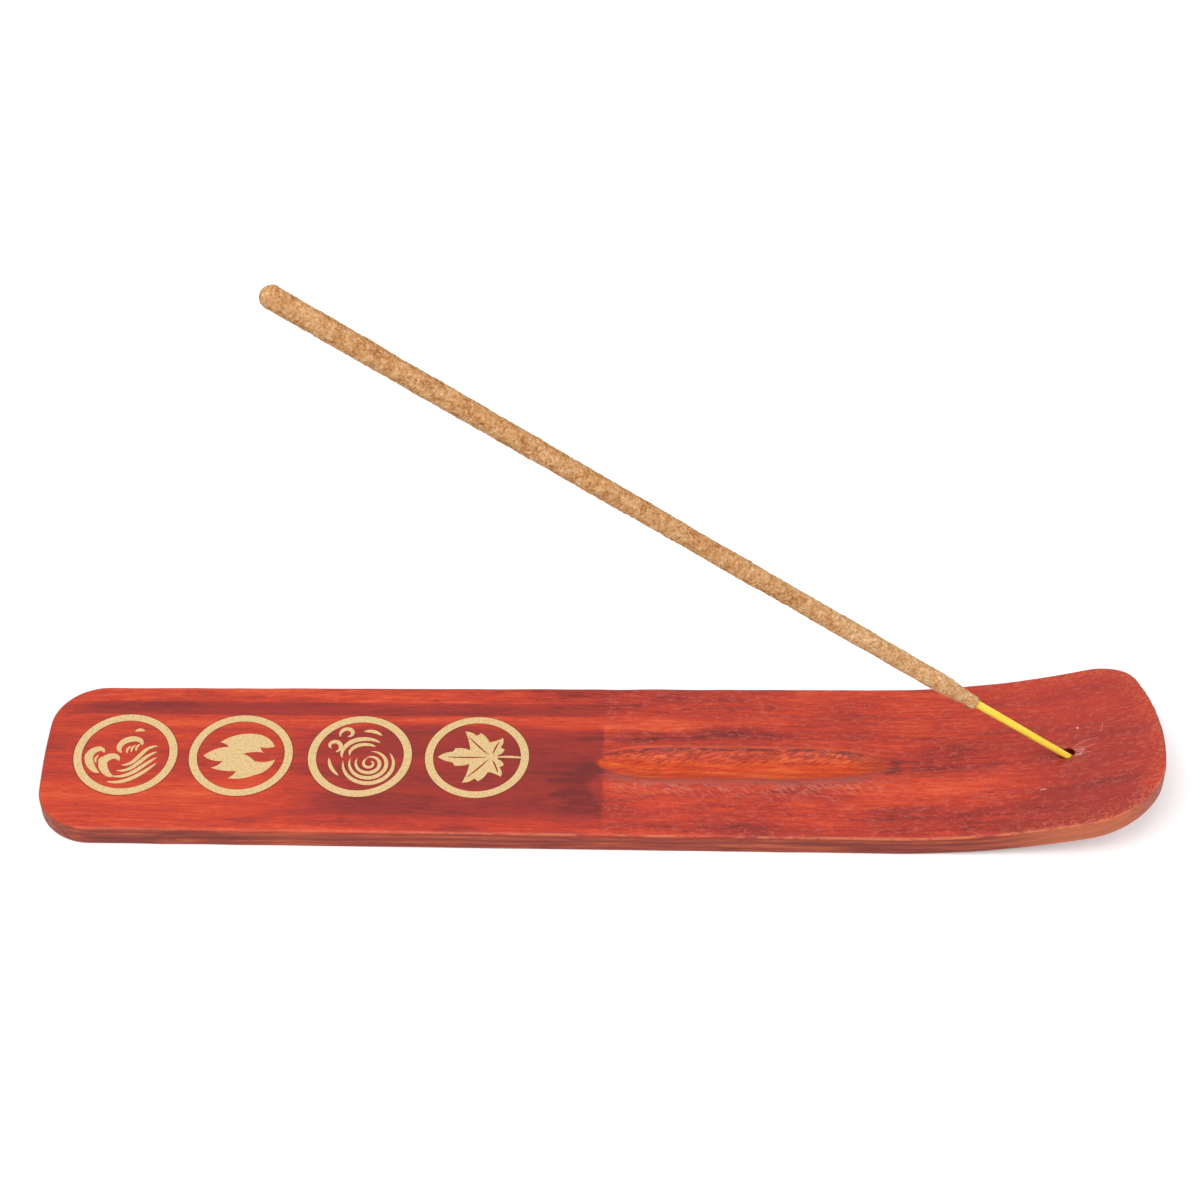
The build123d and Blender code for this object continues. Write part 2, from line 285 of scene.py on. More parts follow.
def add_floor():
    """A white floor that shows as white and keeps the object's shadow."""
    bpy.ops.mesh.primitive_plane_add(size=6, location=(0, 0, 0))
    floor = bpy.context.object
    floor.name = "floor"
    material = new_material("floor")
    tree = material.node_tree
    rays = tree.nodes.new("ShaderNodeLightPath")
    diffuse = add_node(tree, "ShaderNodeBsdfDiffuse", {"Color": (0.86, 0.86, 0.86, 1)})
    where = tree.nodes.new("ShaderNodeTexCoord")
    reach = add_node(tree, "ShaderNodeVectorMath", {0: where.outputs["Object"]}, operation="LENGTH")
    glow = add_range(tree, reach.outputs["Value"], 0.3, 1.0, FLOOR_GLOW, FAR_GLOW)
    glow = add_math(tree, "MULTIPLY", rays.outputs["Is Camera Ray"], glow)
    white = add_node(tree, "ShaderNodeEmission", {"Color": (1, 1, 1, 1), "Strength": glow})
    both = add_node(tree, "ShaderNodeAddShader", {0: diffuse.outputs[0], 1: white.outputs[0]})
    add_node(tree, "ShaderNodeOutputMaterial", {"Surface": both.outputs[0]})
    floor.data.materials.append(material)


# ----------------------------------------------------------------- node helpers

def new_material(name):
    """An empty node material."""
    material = bpy.data.materials.new(name)
    material.use_nodes = True
    material.node_tree.nodes.clear()
    return material


def add_node(tree, kind, inputs=None, **settings):
    """A node with its settings, and with each input linked to a socket or set to a value."""
    made = tree.nodes.new(kind)
    for name, value in settings.items():
        setattr(made, name, value)
    for key, value in (inputs or {}).items():
        if isinstance(value, bpy.types.NodeSocket):
            tree.links.new(value, made.inputs[key])
        else:
            made.inputs[key].default_value = value
    return made


def add_math(tree, operation, *values):
    """A Math node's result."""
    made = add_node(tree, "ShaderNodeMath", dict(enumerate(values)), operation=operation)
    return made.outputs[0]


def srgb(red, green, blue):
    """A colour given as it looks on screen, 0 to 255, as a linear colour with alpha."""
    linear = []
    for level in (red, green, blue):
        share = level / 255
        linear.append(share / 12.92 if share <= 0.04045 else ((share + 0.055) / 1.055) ** 2.4)
    return (*linear, 1.0)


def add_mix(tree, share, first, second):
    """Two colours mixed by a share."""
    made = add_node(tree, "ShaderNodeMix", {0: share, 6: first, 7: second}, data_type="RGBA")
    return made.outputs[2]


def add_coat(tree, colour, share, coat):
    """A colour covered by a share of another, which is given as it looks on screen."""
    return add_mix(tree, share, colour, srgb(*coat))


def add_range(tree, value, low, high, to_low=0.0, to_high=1.0):
    """A value eased from one range to another, and held at its ends."""
    made = add_node(tree, "ShaderNodeMapRange", {
        0: value, 1: low, 2: high, 3: to_low, 4: to_high,
    }, interpolation_type="SMOOTHSTEP")
    return made.outputs[0]


def add_noise(tree, place, scale, detail=2.0, roughness=0.5, distortion=0.0):
    """Noise over a place stretched by a scale for each axis, in cycles per millimetre."""
    stretched = add_node(tree, "ShaderNodeVectorMath", {0: place, 1: scale}, operation="MULTIPLY")
    made = add_node(tree, "ShaderNodeTexNoise", {
        "Vector": stretched.outputs[0], "Scale": 1.0, "Detail": detail, "Roughness": roughness,
        "Distortion": distortion,
    })
    return made.outputs["Fac"]


def add_place(tree):
    """The place on the object in millimetres."""
    where = tree.nodes.new("ShaderNodeTexCoord")
    scaled = add_node(
        tree, "ShaderNodeVectorMath", {0: where.outputs["Object"], 3: 1 / MM}, operation="SCALE"
    )
    return scaled.outputs[0]


def add_attribute(tree, name):
    """A value that the mesh carries at its points."""
    made = add_node(tree, "ShaderNodeAttribute", attribute_name=name)
    return made.outputs["Fac"]


def add_ramp(tree, value, stops):
    """A colour for each value, blended between stops of place and colour."""
    made = add_node(tree, "ShaderNodeValToRGB", {0: value})
    ramp = made.color_ramp
    while len(ramp.elements) < len(stops):
        ramp.elements.new(0.5)
    for element, (place, colour) in zip(ramp.elements, stops):
        element.position = place
        element.color = srgb(*colour)
    return made.outputs[0]


def add_window(tree, value, ends, soft):
    """1 between two values and 0 outside them, with soft ends."""
    (low, high), (soft_low, soft_high) = ends, soft
    rise = add_range(tree, value, low - soft_low, low + soft_low)
    fall = add_range(tree, value, high - soft_high, high + soft_high, 1.0, 0.0)
    return add_math(tree, "MULTIPLY", rise, fall)


def add_product(tree, *values):
    """Several values multiplied."""
    product = values[0]
    for value in values[1:]:
        product = add_math(tree, "MULTIPLY", product, value)
    return product


def add_layers(tree, start, layers):
    """A starting value with layers of noise on it, each about its own middle and with its own weight."""
    total = start
    for layer, weight in layers:
        centred = add_math(tree, "SUBTRACT", layer, 0.5)
        total = add_math(tree, "MULTIPLY_ADD", centred, weight, total)
    return total


def add_shift(tree, value, noise_value, sway):
    """A value moved up and down by noise, by up to half of a sway each way."""
    start = add_math(tree, "SUBTRACT", value, sway / 2)
    return add_math(tree, "MULTIPLY_ADD", noise_value, sway, start)


# -------------------------------------------------------------- board's surface
# Signed distances in millimetres, negative inside. Each takes arrays of x, y and z.

def rounded_meet(first, second, radius):
    """The distance to where two solids meet, with the edge between them rounded."""
    outside = np.hypot(np.maximum(first + radius, 0), np.maximum(second + radius, 0))
    inside = np.minimum(np.maximum(first + radius, second + radius), 0)
    return outside + inside - radius


def end_distance(x, y, bow, peak_y, sign):
    """Distance to a bowed end: a large circle that touches the board's full length at one place."""
    past_centre = np.maximum(sign * x - (END_X - bow), 0)
    return np.hypot(past_centre, y - peak_y) - bow


def outline_distance(x, y):
    """Distance to the board's outline seen from above."""
    side = np.abs(y) - HALF_WIDTH * (1 + WIDTH_TAPER * x / END_X)
    flat_half = HALF_WIDTH * (1 - WIDTH_TAPER)
    flat_bow = (flat_half**2 + FLAT_END_CROWN**2) / (2 * FLAT_END_CROWN)
    flat_end = end_distance(x, y, flat_bow, 0, -1)
    raised_end = end_distance(x, y, RAISED_END_RADIUS, RAISED_END_PEAK_Y, 1)
    raised_corner = np.where(y > 0, RAISED_BACK_CORNER, RAISED_FRONT_CORNER)
    at_flat = rounded_meet(side, flat_end, FLAT_END_CORNER)
    at_raised = rounded_meet(side, raised_end, raised_corner)
    return np.where(x < 0, at_flat, at_raised)


def bent_distance(x, z, height):
    """How far a place is above the board's bent underside, less a height."""
    from_centre = np.hypot(x - BEND_START_X, z - BEND_RADIUS)
    return np.where(x > BEND_START_X, BEND_RADIUS - from_centre, z) - height


def trough_distance(x, y, z):
    """Distance outside the trough's cutter."""
    axis_height = (TROUGH_HALF_WIDTH**2 - TROUGH_DEPTH**2) / (2 * TROUGH_DEPTH)
    run_in = np.maximum(TROUGH_START_X + TROUGH_RUN_IN - x, 0) / TROUGH_RUN_IN
    run_out = np.maximum(x - TROUGH_END_X + TROUGH_RUN_OUT, 0) / TROUGH_RUN_OUT
    radius = axis_height + TROUGH_DEPTH * (1 - run_in**2 - run_out**2)
    return np.hypot(y - TROUGH_Y, z - THICKNESS - axis_height) - radius


def hole_distance(x, y, z):
    """Distance outside the blind stick hole."""
    foot = STICK_FOOT + np.array([0, HOLE_SIDESTEP, 0])
    offset = np.stack([x, y, z], axis=-1) - foot
    along = offset @ STICK_UP
    radial = np.linalg.norm(offset - along[:, None] * STICK_UP, axis=1) - HOLE_RADIUS
    return np.maximum(radial, -FLOOR_GAP - along)


def board_distance(x, y, z, unevenness):
    """Distance to the whole board: a bent, tapered slab with worn arrises, less the trough and hole."""
    outline = outline_distance(x, y) + EDGE_WAVE * unevenness
    trough = trough_distance(x, y, z) + TROUGH_WAVE * unevenness
    top = rounded_meet(bent_distance(x, z, THICKNESS), -trough, TROUGH_RIM)
    under = -bent_distance(x, z, 0)
    slab = rounded_meet(outline, top, TOP_ARRIS * (1 + ARRIS_WAVE * unevenness))
    slab = rounded_meet(slab, under, BOTTOM_ARRIS)
    return rounded_meet(slab, -hole_distance(x, y, z), HOLE_RIM)


def noise_at(points, scale):
    """Smooth noise at each point, about -1 to 1, stretched by a scale in cycles per millimetre."""
    return np.array([noise.noise(Vector(point)) for point in points * np.array(scale)])


def settle(points, unevenness):
    """Moves each point of the board's mesh on to its exact surface, and gives the direction it faces."""
    nudge = 0.02
    for _ in range(5):
        value = board_distance(*points.T, unevenness)
        slopes = []
        for axis in range(3):
            step = np.zeros(3)
            step[axis] = nudge
            ahead = board_distance(*(points + step).T, unevenness)
            behind = board_distance(*(points - step).T, unevenness)
            slopes.append((ahead - behind) / (2 * nudge))
        slope = np.stack(slopes, axis=1)
        size = np.maximum((slope**2).sum(axis=1), 0.25)
        points = points - slope * (value / size)[:, None]
    return points, slope / np.linalg.norm(slope, axis=1)[:, None]


def link_mesh(name, mesh, body):
    """A smooth piece that rides on a body."""
    mesh.polygons.foreach_set("use_smooth", [True] * len(mesh.polygons))
    piece = bpy.data.objects.new(name, mesh)
    bpy.context.scene.collection.objects.link(piece)
    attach(piece, body)
    return piece


def set_values(mesh, name, values):
    """Gives each point of a mesh a value that its material reads."""
    layer = mesh.attributes.new(name, "FLOAT", "POINT")
    layer.data.foreach_set("value", np.asarray(values, np.float32))


def near_hole(place):
    """Whether a place in metres is close to the stick hole's axis."""
    offset = np.array(place) / MM - STICK_FOOT
    along = offset @ STICK_UP
    return along < 9 and np.linalg.norm(offset - along * STICK_UP) < HOLE_SURROUNDINGS


def board_cloak():
    """An even mesh round the CAD board, finer round the stick hole, with its points still rough."""
    source = bpy.data.objects.new("board_source", frame["nodes"]["holder_board"].data.copy())
    bpy.context.scene.collection.objects.link(source)
    weld = source.modifiers.new("weld", "WELD")
    weld.merge_threshold = 0.001 * MM
    voxels = source.modifiers.new("voxels", "REMESH")
    voxels.mode = "VOXEL"
    voxels.voxel_size = BOARD_STEP * MM
    evaluated = source.evaluated_get(bpy.context.evaluated_depsgraph_get())
    mesh = bpy.data.meshes.new_from_object(evaluated)
    bpy.data.objects.remove(source)
    work = bmesh.new()
    work.from_mesh(mesh)
    near = [edge for edge in work.edges if all(near_hole(vertex.co) for vertex in edge.verts)]
    bmesh.ops.subdivide_edges(work, edges=near, cuts=HOLE_CUTS, use_grid_fill=True)
    work.to_mesh(mesh)
    work.free()
    return mesh


def unbent(x, y, z):
    """Places as they were before the board was bent, so that its grain follows the bend."""
    turn = np.arctan2(np.maximum(x - BEND_START_X, 0), BEND_RADIUS - z)
    along = np.where(x > BEND_START_X, BEND_START_X + BEND_RADIUS * turn, x)
    return np.stack([along, y, bent_distance(x, z, 0)], axis=1)


def add_board():
    """The holder board: worn arrises that waver a little, the ash trough and the stick hole."""
    mesh = board_cloak()
    points = np.zeros(len(mesh.vertices) * 3)
    mesh.vertices.foreach_get("co", points)
    points = points.reshape(-1, 3) / MM
    unevenness = noise_at(points, (0.11, 0.05, 0.0))
    points, facing = settle(points, unevenness)
    x, y, z = points.T
    drop = np.maximum(-bent_distance(x, z, THICKNESS), 0)
    inset = np.maximum(-outline_distance(x, y), 0)
    lip = trough_distance(x, y, np.full_like(z, THICKNESS))
    at_trough = (inset > SIDE_REACH) & (facing[:, 2] > 0) & (x < BEND_START_X + 10)
    sunk = np.clip((drop - 0.05) / 0.3, 0, 1) * at_trough
    at_hole = (x > BEND_START_X + 20) & (drop > 0.12)
    in_hole = np.clip(1 - hole_distance(x, y, z) / 0.1, 0, 1) * at_hole
    on_side = np.clip((0.75 - facing[:, 2]) / 0.25, 0, 1) * (inset < SIDE_REACH)
    mesh.vertices.foreach_set("co", (points * MM).ravel())
    mesh.update()
    set_values(mesh, "rim", np.hypot(inset, drop))
    set_values(mesh, "inset", inset)
    set_values(mesh, "side", on_side)
    set_values(mesh, "trough", sunk)
    set_values(mesh, "lip", lip)
    set_values(mesh, "hole", in_hole)
    flat = mesh.attributes.new("flat_place", "FLOAT_VECTOR", "POINT")
    flat.data.foreach_set("vector", unbent(x, y, z).astype(np.float32).ravel())
    board = link_mesh("board", mesh, "holder")
    board.data.materials.clear()
    board.data.materials.append(wood_material())
    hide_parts("holder_board")


# ------------------------------------------------------------------ wood finish

def read_board(tree):
    """What the board's mesh tells its material, and the grain, which wanders as it runs along."""
    place = add_node(tree, "ShaderNodeAttribute", attribute_name="flat_place").outputs["Vector"]
    split = add_node(tree, "ShaderNodeSeparateXYZ", {0: place})
    wander = add_noise(tree, place, (0.012, 0.03, 0.03), 2.0)
    sway = add_math(tree, "MULTIPLY_ADD", wander, GRAIN_SWAY, -GRAIN_SWAY / 2)
    shift = add_node(tree, "ShaderNodeCombineXYZ", {"Y": sway})
    grain = add_node(tree, "ShaderNodeVectorMath", {0: place, 1: shift.outputs[0]}, operation="ADD")
    values = ("rim", "inset", "side", "trough", "lip", "hole")
    return SimpleNamespace(
        place=place, along=split.outputs["X"], across=split.outputs["Y"], grain=grain.outputs[0],
        top=add_range(tree, split.outputs["Z"], 0.8, 2.4),
        **{name: add_attribute(tree, name) for name in values}
    )


def add_area(tree, board, area):
    """1 inside an area of the board and 0 outside it, with soft edges."""
    ends_along, soft_along, ends_across, soft_across = area
    length = add_window(tree, board.along, ends_along, soft_along)
    width = add_window(tree, board.across, ends_across, soft_across)
    return add_product(tree, length, width)


def add_patches(tree, board, patches, start, share=1.0):
    """A starting value changed, by a share, in each patch of the board."""
    total = start
    for *area, change in patches:
        patch = add_product(tree, add_area(tree, board, area), share)
        total = add_math(tree, "MULTIPLY_ADD", patch, change, total)
    return total


def add_reach(tree, board, centre):
    """How far a place on the board is from a centre, seen from above."""
    east = add_math(tree, "SUBTRACT", board.along, float(centre[0]))
    north = add_math(tree, "SUBTRACT", board.across, float(centre[1]))
    square = add_math(tree, "MULTIPLY_ADD", east, east, add_math(tree, "MULTIPLY", north, north))
    return add_math(tree, "SQRT", square)


def turned_place(tree, board, angle):
    """The place on the board turned about the upright by an angle, for marks that lie slantwise."""
    turned = add_node(
        tree, "ShaderNodeVectorRotate", {"Vector": board.place, "Angle": angle}, rotation_type="Z_AXIS"
    )
    return turned.outputs[0]


def stained_colour(tree, board):
    """The red stain: bands, streaks and fibres, calmer and darker where the emblems were pressed on, and a
    patch of painted shadow behind the trough.
    """
    bands = add_noise(tree, board.grain, (0.01, 0.12, 0.12), 2.0)
    streaks = add_noise(tree, board.grain, (0.032, 0.5, 0.5), 5.0, 0.65, 0.5)
    lines = add_noise(tree, board.grain, (0.12, 1.3, 1.3), 4.0, 0.7, 0.2)
    fibres = add_noise(tree, board.grain, (0.42, 1.5, 1.5), 4.0, 0.75)
    mottle = add_noise(tree, board.place, (0.05, 0.16, 0.16), 4.0, 0.6)
    tone = add_patches(tree, board, STRAIGHT_PATCHES, 0.5, board.top)
    uneven = add_noise(tree, board.place, (0.06, 0.25, 0.25), 4.0, 0.6)
    wandering = SimpleNamespace(
        along=add_shift(tree, board.along, uneven, PATCH_SWAY_ALONG),
        across=add_shift(tree, board.across, mottle, PATCH_SWAY_ACROSS),
    )
    tone = add_patches(tree, wandering, WANDERING_PATCHES, tone, board.top)
    calm = add_patches(tree, board, CALM_PATCHES, 1.0)
    detail = add_layers(tree, 0.0, [
        (bands, 0.7), (streaks, 0.95), (lines, 1.0), (fibres, 0.75), (mottle, 0.8),
    ])
    tone = add_math(tree, "MULTIPLY_ADD", detail, calm, tone)
    colour = add_ramp(tree, tone, STAIN_RAMP)
    raised = add_product(tree, add_range(tree, board.along, 72, 112), 0.35)
    colour = add_coat(tree, colour, raised, RAISED_END_RED)
    return colour, SimpleNamespace(streaks=streaks, lines=lines, fibres=fibres)


def add_flecks(tree, board, colour):
    """Short dark ticks everywhere, and near-black flecks in a row near the back edge."""
    tick = add_range(tree, add_noise(tree, board.grain, (0.3, 1.3, 1.3), 3.0, 0.65), 0.37, 0.27)
    colour = add_coat(tree, colour, add_product(tree, tick, 0.6), TICK_RED)
    row = add_area(tree, board, FLECK_ROW)
    fleck = add_range(tree, add_noise(tree, board.grain, (0.12, 0.75, 0.75), 5.0, 0.7), 0.43, 0.35)
    return add_coat(tree, colour, add_product(tree, fleck, row, 0.7), FLECK_BROWN)


def add_ring_edges(tree, board, colour):
    """A thin dark line where the ink of each printed ring ends."""
    for name in frame["nodes"]:
        if name.startswith("emblem_"):
            low, high = (np.array(corner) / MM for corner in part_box(name))
            reach = add_reach(tree, board, (low + high) / 2)
            outer = (high[0] - low[0]) / 2
            outside = add_window(tree, reach, (outer - 0.1, outer + 0.25), (0.08, 0.15))
            inside = add_window(tree, reach, (RING_WALL - 0.2, RING_WALL + 0.1), (0.15, 0.08))
            edge = add_product(tree, add_math(tree, "MAXIMUM", outside, inside), 0.6)
            colour = add_coat(tree, colour, edge, RING_EDGE_BROWN)
    return colour


def add_scuffs(tree, board, colour):
    """Pale dashes on the half that the press didn't touch, slanted ones by the trough, and their depth."""
    rough_half = add_range(tree, board.along, 0.8, 2.4)
    dashes = add_range(tree, add_noise(tree, board.place, (0.6, 1.4, 1.4), 4.0, 0.75), 0.51, 0.64)
    scuff = add_product(tree, dashes, rough_half, 0.42)
    slanted = turned_place(tree, board, SCUFF_ANGLE)
    strokes = add_range(tree, add_noise(tree, slanted, (0.5, 1.9, 1.9), 3.0, 0.6), 0.5, 0.6)
    front = add_range(tree, board.across, -4, -6)
    near_lip = add_window(tree, board.lip, (0.6, 2.8), (0.5, 2.2))
    length = add_window(tree, board.along, (4, 66), (3, 8))
    stroke = add_product(tree, strokes, front, near_lip, length, 0.62)
    colour = add_coat(tree, colour, scuff, SCUFF_PINK)
    colour = add_coat(tree, colour, stroke, STROKE_PINK)
    return colour, add_math(tree, "ADD", scuff, stroke)


def add_trough_finish(tree, board, colour):
    """Bare orange wood in the trough with slanted tool marks, and the marks' depth."""
    slanted = turned_place(tree, board, TOOL_ANGLE)
    tool = add_noise(tree, slanted, (0.4, 2.0, 2.0), 3.0, 0.6)
    back_wall = add_range(tree, board.across, -1.0, 2.2)
    strength = add_math(tree, "MULTIPLY_ADD", back_wall, 0.4, 0.4)
    deeper = add_math(tree, "MULTIPLY_ADD", back_wall, -0.05, tool)
    marks = add_product(tree, add_range(tree, deeper, 0.5, 0.36), strength)
    warm = add_noise(tree, board.grain, (0.08, 1.1, 1.1), 5.0, 0.7)
    bare = add_coat(tree, add_ramp(tree, warm, BARE_RAMP), marks, TOOL_MARK_RED)
    far_end = add_product(tree, add_range(tree, board.along, 54, 66), 0.6)
    bare = add_coat(tree, bare, far_end, TROUGH_END_RED)
    tip_stain = add_product(tree, add_area(tree, board, TROUGH_TIP), warm, 1.3)
    bared = add_math(tree, "MAXIMUM", board.trough, tip_stain)
    # The bare wood starts at the lip itself behind, and a little below it in front
    starts = add_range(tree, board.across, -3, 1, -0.1, 0.1)
    full = add_range(tree, board.across, -3, 1, -0.75, -0.25)
    share = add_product(tree, bared, add_range(tree, board.lip, starts, full))
    return add_mix(tree, share, colour, bare), add_product(tree, board.trough, marks)


def add_trough_rim(tree, board, colour):
    """Pits, a dark broken line and a bright crest along the trough's back rim, and painted shade as a
    mauve-grey band along the front lip.
    """
    length = add_window(tree, board.along, (2, 62), (4, 6))
    behind = add_product(tree, add_range(tree, board.across, 1.2, 2.2), length)
    front = add_product(tree, add_range(tree, board.across, -2.6, -4.4), length)
    broken = add_range(tree, add_noise(tree, board.place, (0.3, 0.8, 0.8), 5.0, 0.75), 0.43, 0.55)
    line = add_product(tree, add_window(tree, board.lip, (-0.36, -0.06), (0.12, 0.1)), broken, behind, 0.8)
    pits = add_range(tree, add_noise(tree, board.place, (0.35, 1.3, 1.3), 4.0, 0.7), 0.45, 0.36)
    pits = add_product(tree, pits, add_window(tree, board.lip, (-0.9, -0.05), (0.4, 0.1)), behind, 0.75)
    crest = add_product(tree, add_window(tree, board.lip, (0.12, 0.4), (0.12, 0.2)), behind, 0.6)
    uneven = add_math(tree, "MULTIPLY_ADD", broken, 0.4, 0.35)
    # Painted shade: a mauve-grey band along the trough's front lip, where the near wall lies in shade
    shade = add_product(tree, add_window(tree, board.lip, (-0.9, 0.9), (0.6, 0.7)), front, uneven)
    colour = add_coat(tree, colour, pits, RIM_PIT_BROWN)
    colour = add_coat(tree, colour, line, RIM_LINE_BROWN)
    colour = add_coat(tree, colour, crest, RIM_CREST_ORANGE)
    return add_coat(tree, colour, shade, FRONT_LIP_PAINTED_SHADE)


def add_side_finish(tree, board, colour):
    """Sides darker and streaked along, and paler round the raised end's front corner."""
    stripe = add_noise(tree, board.grain, (0.04, 1.1, 1.1), 5.0, 0.7)
    pale_corner = add_product(tree, add_window(tree, board.along, (96, 122), (12, 8)), 0.65)
    side_colour = add_coat(tree, add_ramp(tree, stripe, SIDE_RAMP), pale_corner, PALE_SIDE_ORANGE)
    return add_mix(tree, board.side, colour, side_colour)


def add_wear(tree, board, colour):
    """Arrises rubbed pale in places, and the raised end's rim flecked orange."""
    patchy = add_noise(tree, board.place, (0.14, 0.4, 0.4), 5.0, 0.7)
    share = add_range(tree, board.along, -60, 5, 0.25, 0.8)
    at_arris = add_range(tree, board.rim, 0.62, 0.25)
    line = add_product(tree, at_arris, add_range(tree, patchy, 0.42, 0.56), share)
    colour = add_coat(tree, colour, line, RUBBED_ARRIS_ORANGE)
    raised = add_range(tree, board.along, 84, 112)
    band = add_product(tree, add_range(tree, board.inset, 5.0, 0.5), raised)
    crumbs = add_range(tree, add_noise(tree, board.place, (1.3, 1.6, 1.6), 4.0, 0.7), 0.45, 0.62)
    off_side = add_math(tree, "SUBTRACT", 1.0, board.side)
    return add_coat(tree, colour, add_product(tree, band, crumbs, off_side, 0.7), CRUMB_ORANGE)


def add_hole_marks(tree, board, colour):
    """Painted shade on the hole's wall, with fine pale scratches and splinters beside it and two specks of
    lint.
    """
    for centre, radius, ends_along, ends_across in SCRATCHES:
        reach = add_reach(tree, board, centre)
        off = add_math(tree, "ABSOLUTE", add_math(tree, "SUBTRACT", reach, radius))
        shown = add_area(tree, board, (ends_along, (0.5, 0.5), ends_across, (0.3, 0.3)))
        scratch = add_product(tree, add_range(tree, off, 0.13, 0.04), shown, 0.5)
        colour = add_coat(tree, colour, scratch, SCRATCH_PALE)
    splinters = add_range(tree, add_noise(tree, board.place, (0.8, 2.0, 2.0), 3.0, 0.7), 0.47, 0.56)
    splinters = add_product(tree, add_area(tree, board, SPLINTER_TUFT), splinters, 0.75)
    colour = add_coat(tree, colour, splinters, SPLINTER_PALE)
    for (x, y), (half_x, half_y) in LINT:
        area = ((x - half_x, x + half_x), LINT_SOFT, (y - half_y, y + half_y), LINT_SOFT)
        colour = add_coat(tree, colour, add_product(tree, add_area(tree, board, area), 0.85), LINT_PALE)
    # Painted shade: the hole's wall is coloured dark red, as the recess looks in shade
    return add_coat(tree, colour, board.hole, HOLE_PAINTED_SHADE_RED)


def wood_material():
    """Red-stained wood with grain along the board, worn to orange at its arrises and in the trough, with
    painted shade on the trough's front lip and the stick hole's wall, and a painted shadow behind the
    trough.
    """
    material = new_material("stained_wood")
    tree = material.node_tree
    board = read_board(tree)
    colour, figure = stained_colour(tree, board)
    colour = add_flecks(tree, board, colour)
    colour = add_ring_edges(tree, board, colour)
    colour, scuff = add_scuffs(tree, board, colour)
    colour, gouge = add_trough_finish(tree, board, colour)
    colour = add_trough_rim(tree, board, colour)
    colour = add_side_finish(tree, board, colour)
    colour = add_wear(tree, board, colour)
    colour = add_hole_marks(tree, board, colour)

    gloss = add_range(tree, figure.streaks, 0.3, 0.7, 0.36, 0.52)
    polished = add_area(tree, board, POLISHED_SPOT)
    gloss = add_math(tree, "MULTIPLY_ADD", polished, -0.18, gloss)
    height = add_layers(tree, 0.0, [(figure.fibres, 0.8), (figure.lines, 1.0)])
    height = add_math(tree, "MULTIPLY_ADD", scuff, 0.5, height)
    height = add_math(tree, "MULTIPLY_ADD", gouge, -1.5, height)
    bump = add_node(tree, "ShaderNodeBump", {"Height": height, "Strength": 0.4, "Distance": 0.1 * MM})
    shader = add_node(tree, "ShaderNodeBsdfPrincipled", {
        "Base Color": colour, "Roughness": gloss, "Normal": bump.outputs[0], "Specular IOR Level": 0.32,
    })
    add_node(tree, "ShaderNodeOutputMaterial", {"Surface": shader.outputs[0]})
    return material


# ---------------------------------------------------------------------- emblems

def gold_ink_material():
    """Pale gold ink, matt, with pinholes where the grain shows through."""
    material = new_material("gold_ink")
    tree = material.node_tree
    place = add_place(tree)
    grit = add_noise(tree, place, (1.7, 1.7, 0.0), 4.0, 0.8)
    colour = add_ramp(tree, grit, INK_RAMP)
    pinhole = add_range(tree, add_noise(tree, place, (1.2, 2.4, 0.0), 3.0), 0.33, 0.27)
    colour = add_coat(tree, colour, add_product(tree, pinhole, 0.6), INK_PINHOLE_BROWN)
    bump = add_node(tree, "ShaderNodeBump", {"Height": grit, "Strength": 0.3, "Distance": 0.05 * MM})
    shader = add_node(tree, "ShaderNodeBsdfPrincipled", {
        "Base Color": colour, "Roughness": 0.5, "Metallic": 0.15, "Normal": bump.outputs[0],
    })
    add_node(tree, "ShaderNodeOutputMaterial", {"Surface": shader.outputs[0]})
    return material


def ink_emblems():
    """Gives the four printed emblems their ink."""
    ink = gold_ink_material()
    for name, node in frame["nodes"].items():
        if name.startswith("emblem_"):
            node.data.materials.clear()
            node.data.materials.append(ink)


# ------------------------------------------------------------------------ stick

def round_bar(name, stations, radii, around):
    """A closed bar along the stick: radii holds a radius for each station and each angle round it."""
    side = np.array([0.0, 1.0, 0.0])
    out = np.cross(STICK_UP, side)
    angles = np.linspace(0, 2 * math.pi, around, endpoint=False)
    ring = np.cos(angles)[:, None] * side + np.sin(angles)[:, None] * out
    centres = STICK_FOOT + stations[:, None] * STICK_UP
    points = centres[:, None, :] + radii[:, :, None] * ring
    points = points.reshape(-1, 3)
    count = len(stations)
    faces = []
    for row in range(count - 1):
        for turn in range(around):
            here = row * around + turn
            beside = row * around + (turn + 1) % around
            faces.append((here, beside, beside + around, here + around))
    faces.append(tuple(range(around))[::-1])
    faces.append(tuple(range((count - 1) * around, count * around)))
    mesh = bpy.data.meshes.new(name)
    mesh.from_pydata(points * MM, [], faces)
    mesh.update()
    set_values(mesh, "up_stick", np.repeat(stations, around))
    set_values(mesh, "turn", np.tile(np.sin(angles), count))
    return link_mesh(name, mesh, "incense_stick")


def surface_noise(stations, around, radius, scale, seed):
    """Noise over a bar's surface, one value for each station and angle."""
    angles = np.linspace(0, 2 * math.pi, around, endpoint=False)
    along, turn = np.meshgrid(stations, angles, indexing="ij")
    points = np.stack([along, radius * np.cos(turn), radius * np.sin(turn)], axis=-1).reshape(-1, 3)
    return noise_at(points + seed * 17.3, (scale, scale, scale)).reshape(along.shape)


